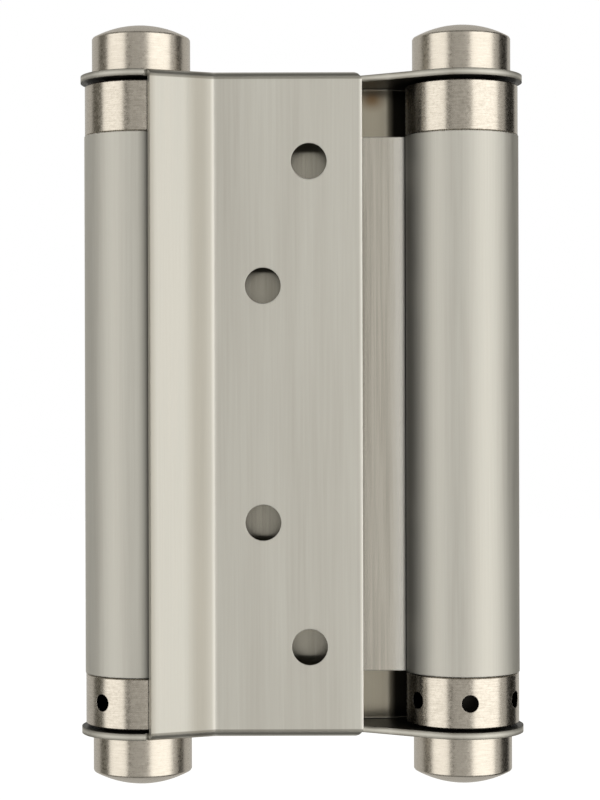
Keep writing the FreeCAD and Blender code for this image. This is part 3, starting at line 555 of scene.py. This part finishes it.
# %% Springs of round wire
# Millimetres, and heights from the middle of the hinge.
WIRE_RADIUS = 1.0
COIL_RADIUS = 5.3
COIL_TURNS, STEPS_PER_TURN = 16, 20
COIL_FOOT, COIL_HEAD = -35.6, 35.5
LEG_FOOT, LEG_HEAD = -39.4, 39.3
LEG_BEND, BEND_STEPS = 1.4, 5
WIRE_BEVEL_STEPS = 2
# How far each spring is turned about its pin, in degrees, so that its legs meet their holes.
LEFT_TURN, RIGHT_TURN = 19.0, 183.0


def spring_path():
    """Places along the middle of the wire, in millimetres, from the lower leg's end to the upper one's."""
    bend = [math.pi / 2 * step / BEND_STEPS for step in range(BEND_STEPS + 1)]
    lower = [(COIL_RADIUS, LEG_BEND * (1 - math.cos(angle)) - WIRE_RADIUS,
              COIL_FOOT - LEG_BEND * (1 - math.sin(angle))) for angle in bend]
    upper = [(COIL_RADIUS, WIRE_RADIUS - LEG_BEND * (1 - math.sin(angle)),
              COIL_HEAD + LEG_BEND * (1 - math.cos(angle))) for angle in bend]
    steps = COIL_TURNS * STEPS_PER_TURN
    coil = []
    for step in range(1, steps):
        angle = 2 * math.pi * step / STEPS_PER_TURN
        height = COIL_FOOT + (COIL_HEAD - COIL_FOOT) * step / steps
        coil.append((COIL_RADIUS * math.cos(angle), COIL_RADIUS * math.sin(angle), height))
    return ([(COIL_RADIUS, -WIRE_RADIUS, LEG_FOOT)] + lower + coil + upper
            + [(COIL_RADIUS, WIRE_RADIUS, LEG_HEAD)])


def wire_mesh(name, places):
    """Round wire along these places, as a mesh."""
    curve = bpy.data.curves.new(name, "CURVE")
    curve.dimensions = "3D"
    curve.bevel_depth = WIRE_RADIUS * MM
    curve.bevel_resolution = WIRE_BEVEL_STEPS
    curve.use_fill_caps = True
    wire = curve.splines.new("POLY")
    wire.points.add(len(places) - 1)
    for point, place in zip(wire.points, places):
        point.co = (*place, 1.0)
    holder = bpy.data.objects.new(name, curve)
    mesh = bpy.data.meshes.new_from_object(holder)
    bpy.data.objects.remove(holder)
    mesh.materials.clear()
    mesh.materials.append(spring_wire)
    return mesh


def wind_spring(word, axis, turn):
    """The spring of one barrel, in place of its solid."""
    about = Matrix.Rotation(math.radians(turn), 3, "Z")
    places = [(about @ Vector(place) + Vector((axis, 0, 0))) * MM for place in spring_path()]
    spring = bpy.data.objects.new(word + "_round_spring", wire_mesh(word + "_wire", places))
    bpy.context.scene.collection.objects.link(spring)
    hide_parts(word + "_spring")
    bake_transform(spring)
    print(spring.name, "faces:", len(spring.data.polygons))


wind_spring("left", -AXIS, LEFT_TURN)
wind_spring("right", AXIS, RIGHT_TURN)

# %% [markdown]
# A shiny thing shows its surroundings, so lighting metal means placing what it reflects. Two tall
# soft boxes stand 0.8 m away, left and right of the camera, and cards beside them and close to the
# hinge draw the darker stripes that make a cylinder read as metal. Lamps and cards are hidden from
# the camera, which may look from any side, but stay in the reflections.

# %% Soft boxes and cards
BOX_HEIGHT = 1.6
LAMP_COLOUR = "FFFDF8"
RIGHT_BRIGHTNESS, LEFT_BRIGHTNESS = 1.22, 0.95
MATT_ROUGH = 0.9
# Each panel's two ends on the floor plan, in millimetres from the middle of the hinge.
RIGHT_BOX = ((262, -756), (772, -210))
LEFT_BOX = ((-788, -139), (-453, -659))
RIGHT_CARD = ((80, 42), (102, 1))
LEFT_CARD = ((-297, -42), (-282, 103))
FRONT_CARD = ((-436, -671), (-325, -731))


def stand(panel, ends):
    """Stands an upright panel between two floor-plan points, facing left of that line; gives its width."""
    start, end = [Vector(point) * MM for point in ends]
    run = end - start
    middle = (start + end) / 2
    panel.location = (middle.x, middle.y, 0)
    panel.rotation_euler = (math.pi / 2, 0, math.atan2(run.y, run.x))
    panel.visible_camera = False
    bpy.context.scene.collection.objects.link(panel)
    print(panel.name, "width:", round(run.length, 3), "m")
    return run.length


def add_soft_box(name, ends, brightness):
    """An upright area light whose surface is this bright."""
    lamp = bpy.data.lights.new(name, "AREA")
    lamp.shape = "RECTANGLE"
    lamp.color = linear(LAMP_COLOUR)[:3]
    lamp.size = stand(bpy.data.objects.new(name, lamp), ends)
    lamp.size_y = BOX_HEIGHT
    lamp.energy = brightness * math.pi * lamp.size * lamp.size_y


def add_card(name, ends, colour):
    """An upright card of matt colour, seen only in reflections."""
    mesh = bpy.data.meshes.new(name)
    card = bpy.data.objects.new(name, mesh)
    half = stand(card, ends) / 2
    tall = BOX_HEIGHT / 2
    corners = [(-half, -tall, 0), (half, -tall, 0), (half, tall, 0), (-half, tall, 0)]
    mesh.from_pydata(corners, [], [(0, 1, 2, 3)])
    material, _, shader = new_material(name)
    shader.inputs["Base Color"].default_value = linear(colour)
    shader.inputs["Roughness"].default_value = MATT_ROUGH
    mesh.materials.append(material)


add_soft_box("right_soft_box", RIGHT_BOX, RIGHT_BRIGHTNESS)
add_soft_box("left_soft_box", LEFT_BOX, LEFT_BRIGHTNESS)
add_card("right_card", RIGHT_CARD, "2A2926")
add_card("left_card", LEFT_CARD, "7E7C74")
add_card("front_card", FRONT_CARD, "8C8A86")

# %% [markdown]
# The world is the rest of the room. To the camera it is plain white. To the metal it is a pale grey
# sweep all round, a little paler behind, and dimmer overhead and underfoot, which draws the dark
# line along the folds. Behind the hinge it stays pale to the top, so the domes of the caps do too.
# A photographed room would do the same, but a few nodes give control over each of these parts.

# %% The room
FRONT_WALL, BACK_WALL = "C0BEB9", "C8C6C1"
OVERHEAD = "84837F"
# Parts of a unit direction: towards the back for the first two pairs, up or down for the third.
WALL_FRONT, WALL_BACK = -0.5, 0.5
PALE_BEHIND, DIM_BEFORE = 0.5, 0.15
LEVEL, STEEP = 0.25, 0.75

world = bpy.data.worlds.new("studio")
bpy.context.scene.world = world
world.use_nodes = True
room = world.node_tree
place = add_node(room, "ShaderNodeTexCoord")
direction = add_node(room, "ShaderNodeSeparateXYZ", {"Vector": place.outputs["Generated"]})
depth = add_node(room, "ShaderNodeMapRange",
                 {"Value": direction.outputs["Y"], "From Min": WALL_FRONT, "From Max": WALL_BACK},
                 interpolation_type="SMOOTHSTEP")
walls = add_node(room, "ShaderNodeMix",
                 {"Factor": depth.outputs["Result"], "A": linear(FRONT_WALL), "B": linear(BACK_WALL)},
                 data_type="RGBA")
ahead = add_node(room, "ShaderNodeMapRange",
                 {"Value": direction.outputs["Y"], "From Min": PALE_BEHIND, "From Max": DIM_BEFORE},
                 interpolation_type="SMOOTHSTEP")
slope = add_node(room, "ShaderNodeMath", {0: direction.outputs["Z"]}, operation="ABSOLUTE")
steep = add_node(room, "ShaderNodeMapRange",
                 {"Value": slope.outputs[0], "From Min": LEVEL, "From Max": STEEP},
                 interpolation_type="SMOOTHSTEP")
gloom = add_node(room, "ShaderNodeMath", {0: steep.outputs["Result"], 1: ahead.outputs["Result"]},
                 operation="MULTIPLY")
shaded = add_node(room, "ShaderNodeMix",
                  {"Factor": gloom.outputs[0], "A": walls.outputs["Result"], "B": linear(OVERHEAD)},
                  data_type="RGBA")
ray = add_node(room, "ShaderNodeLightPath")
seen = add_node(room, "ShaderNodeMix",
                {"Factor": ray.outputs["Is Camera Ray"], "A": shaded.outputs["Result"],
                 "B": linear("FFFFFF")}, data_type="RGBA")
room.links.new(seen.outputs["Result"], room.nodes["Background"].inputs["Color"])
print("room nodes:", len(room.nodes))

# %% [markdown]
# The floor lies a little below the hinge, which is a thing that hangs on a door. It glows white to
# the camera and still takes the lamps' light, so the shadow on it stays. A round disc has no corner
# that could show in another view.

# %% Floor
FLOOR_DROP = 30 * MM
FLOOR_RADIUS = 1.2
FLOOR_SIDES = 64
floor_z = cad_box[0][2] - FLOOR_DROP
rim = [2 * math.pi * i / FLOOR_SIDES for i in range(FLOOR_SIDES)]
rim_points = [(FLOOR_RADIUS * math.cos(a), FLOOR_RADIUS * math.sin(a), floor_z) for a in rim]
floor_mesh = bpy.data.meshes.new("floor")
floor_mesh.from_pydata(rim_points, [], [tuple(range(FLOOR_SIDES))])
floor = bpy.data.objects.new("floor", floor_mesh)
bpy.context.scene.collection.objects.link(floor)
floor.visible_glossy = False
floor.visible_shadow = False
pale, floor_tree, floor_shader = new_material("pale_floor")
floor_ray = add_node(floor_tree, "ShaderNodeLightPath")
floor_shader.inputs["Base Color"].default_value = linear("989898")
floor_shader.inputs["Roughness"].default_value = MATT_ROUGH
floor_shader.inputs["Emission Color"].default_value = linear("F4F4F4")
floor_tree.links.new(floor_ray.outputs["Is Camera Ray"], floor_shader.inputs["Emission Strength"])
floor_mesh.materials.append(pale)
print("floor at", round(floor_z / MM, 1), "mm")

# %% [markdown]
# The camera stands straight in front at about a third of a metre, close enough for the caps to
# show a little of their perspective. Its lens and place were measured from the photograph, whose
# frame is 600 by 800 pixels, and it leans by a fraction of a degree, as the photograph does.

# %% Camera
PHOTO_WIDTH, PHOTO_HEIGHT = 600, 800
FOCAL_PIXELS = 2050
DISTANCE = 314 * MM
# The pixel that the middle of the hinge falls on.
CENTRE_PIXEL = (302, 404)
LEAN = 0.0027
metres_per_pixel = DISTANCE / FOCAL_PIXELS
camera_data = bpy.data.cameras.new("camera")
camera_data.lens = FOCAL_PIXELS / PHOTO_HEIGHT * camera_data.sensor_width
camera_data.clip_start = 1 * MM
camera = bpy.data.objects.new("camera", camera_data)
camera.location = ((PHOTO_WIDTH / 2 - CENTRE_PIXEL[0]) * metres_per_pixel, -DISTANCE,
                   (CENTRE_PIXEL[1] - PHOTO_HEIGHT / 2) * metres_per_pixel)
camera.rotation_euler = (math.pi / 2, LEAN, 0)
bpy.context.scene.collection.objects.link(camera)
bpy.context.scene.camera = camera
bpy.context.scene.view_settings.view_transform = "Standard"
print("lens:", round(camera_data.lens, 1), "mm")

# %% [markdown]
# Last, the size of the solids' box is printed in millimetres.

# %% Sizes and finish
print("size in mm:", [round((high - low) / MM, 1) for low, high in zip(*cad_box)])
